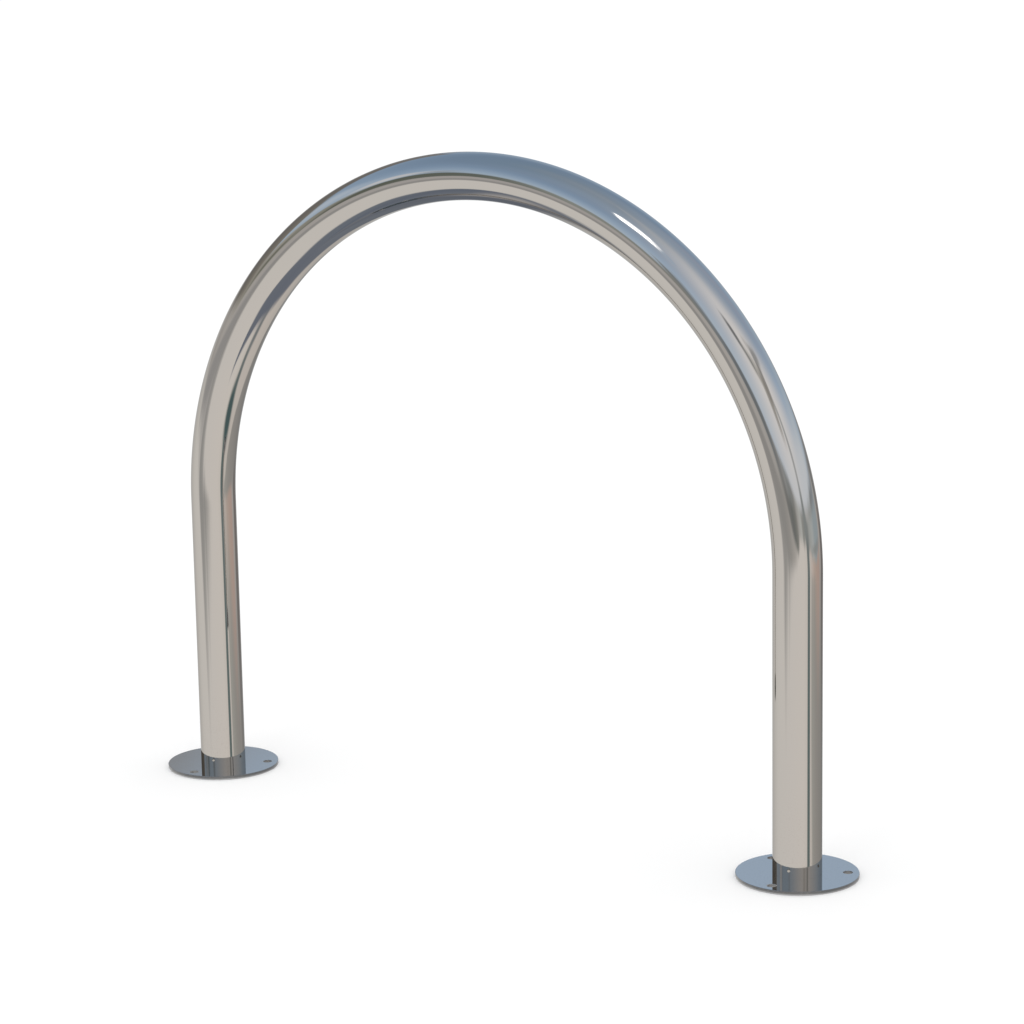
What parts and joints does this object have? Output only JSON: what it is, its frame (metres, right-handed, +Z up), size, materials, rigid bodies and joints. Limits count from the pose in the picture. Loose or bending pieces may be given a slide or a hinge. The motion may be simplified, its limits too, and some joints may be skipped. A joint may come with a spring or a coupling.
{
  "type": "hoop bike rack",
  "caption": "Surface-mounted bike rack: a polished stainless steel tube bent into a hoop, with a round bolt-down flange welded at each foot.",
  "frame": {"origin": "on the ground, midway between the two legs, in the plane of the hoop", "axes": "+X along the hoop from the left leg to the right leg, +Y square to the hoop's plane, +Z up"},
  "size_m": [1.054, 0.15, 0.8561],
  "materials": {
    "polished_tube": "polished",
    "polished_plate": "polished",
    "weld_metal": "satin"
  },
  "bodies": {
    "root": {"hoop_tube": "polished_tube", "left_flange": "polished_plate", "right_flange": "polished_plate", "left_weld": "weld_metal", "right_weld": "weld_metal"}
  },
  "joints": []
}
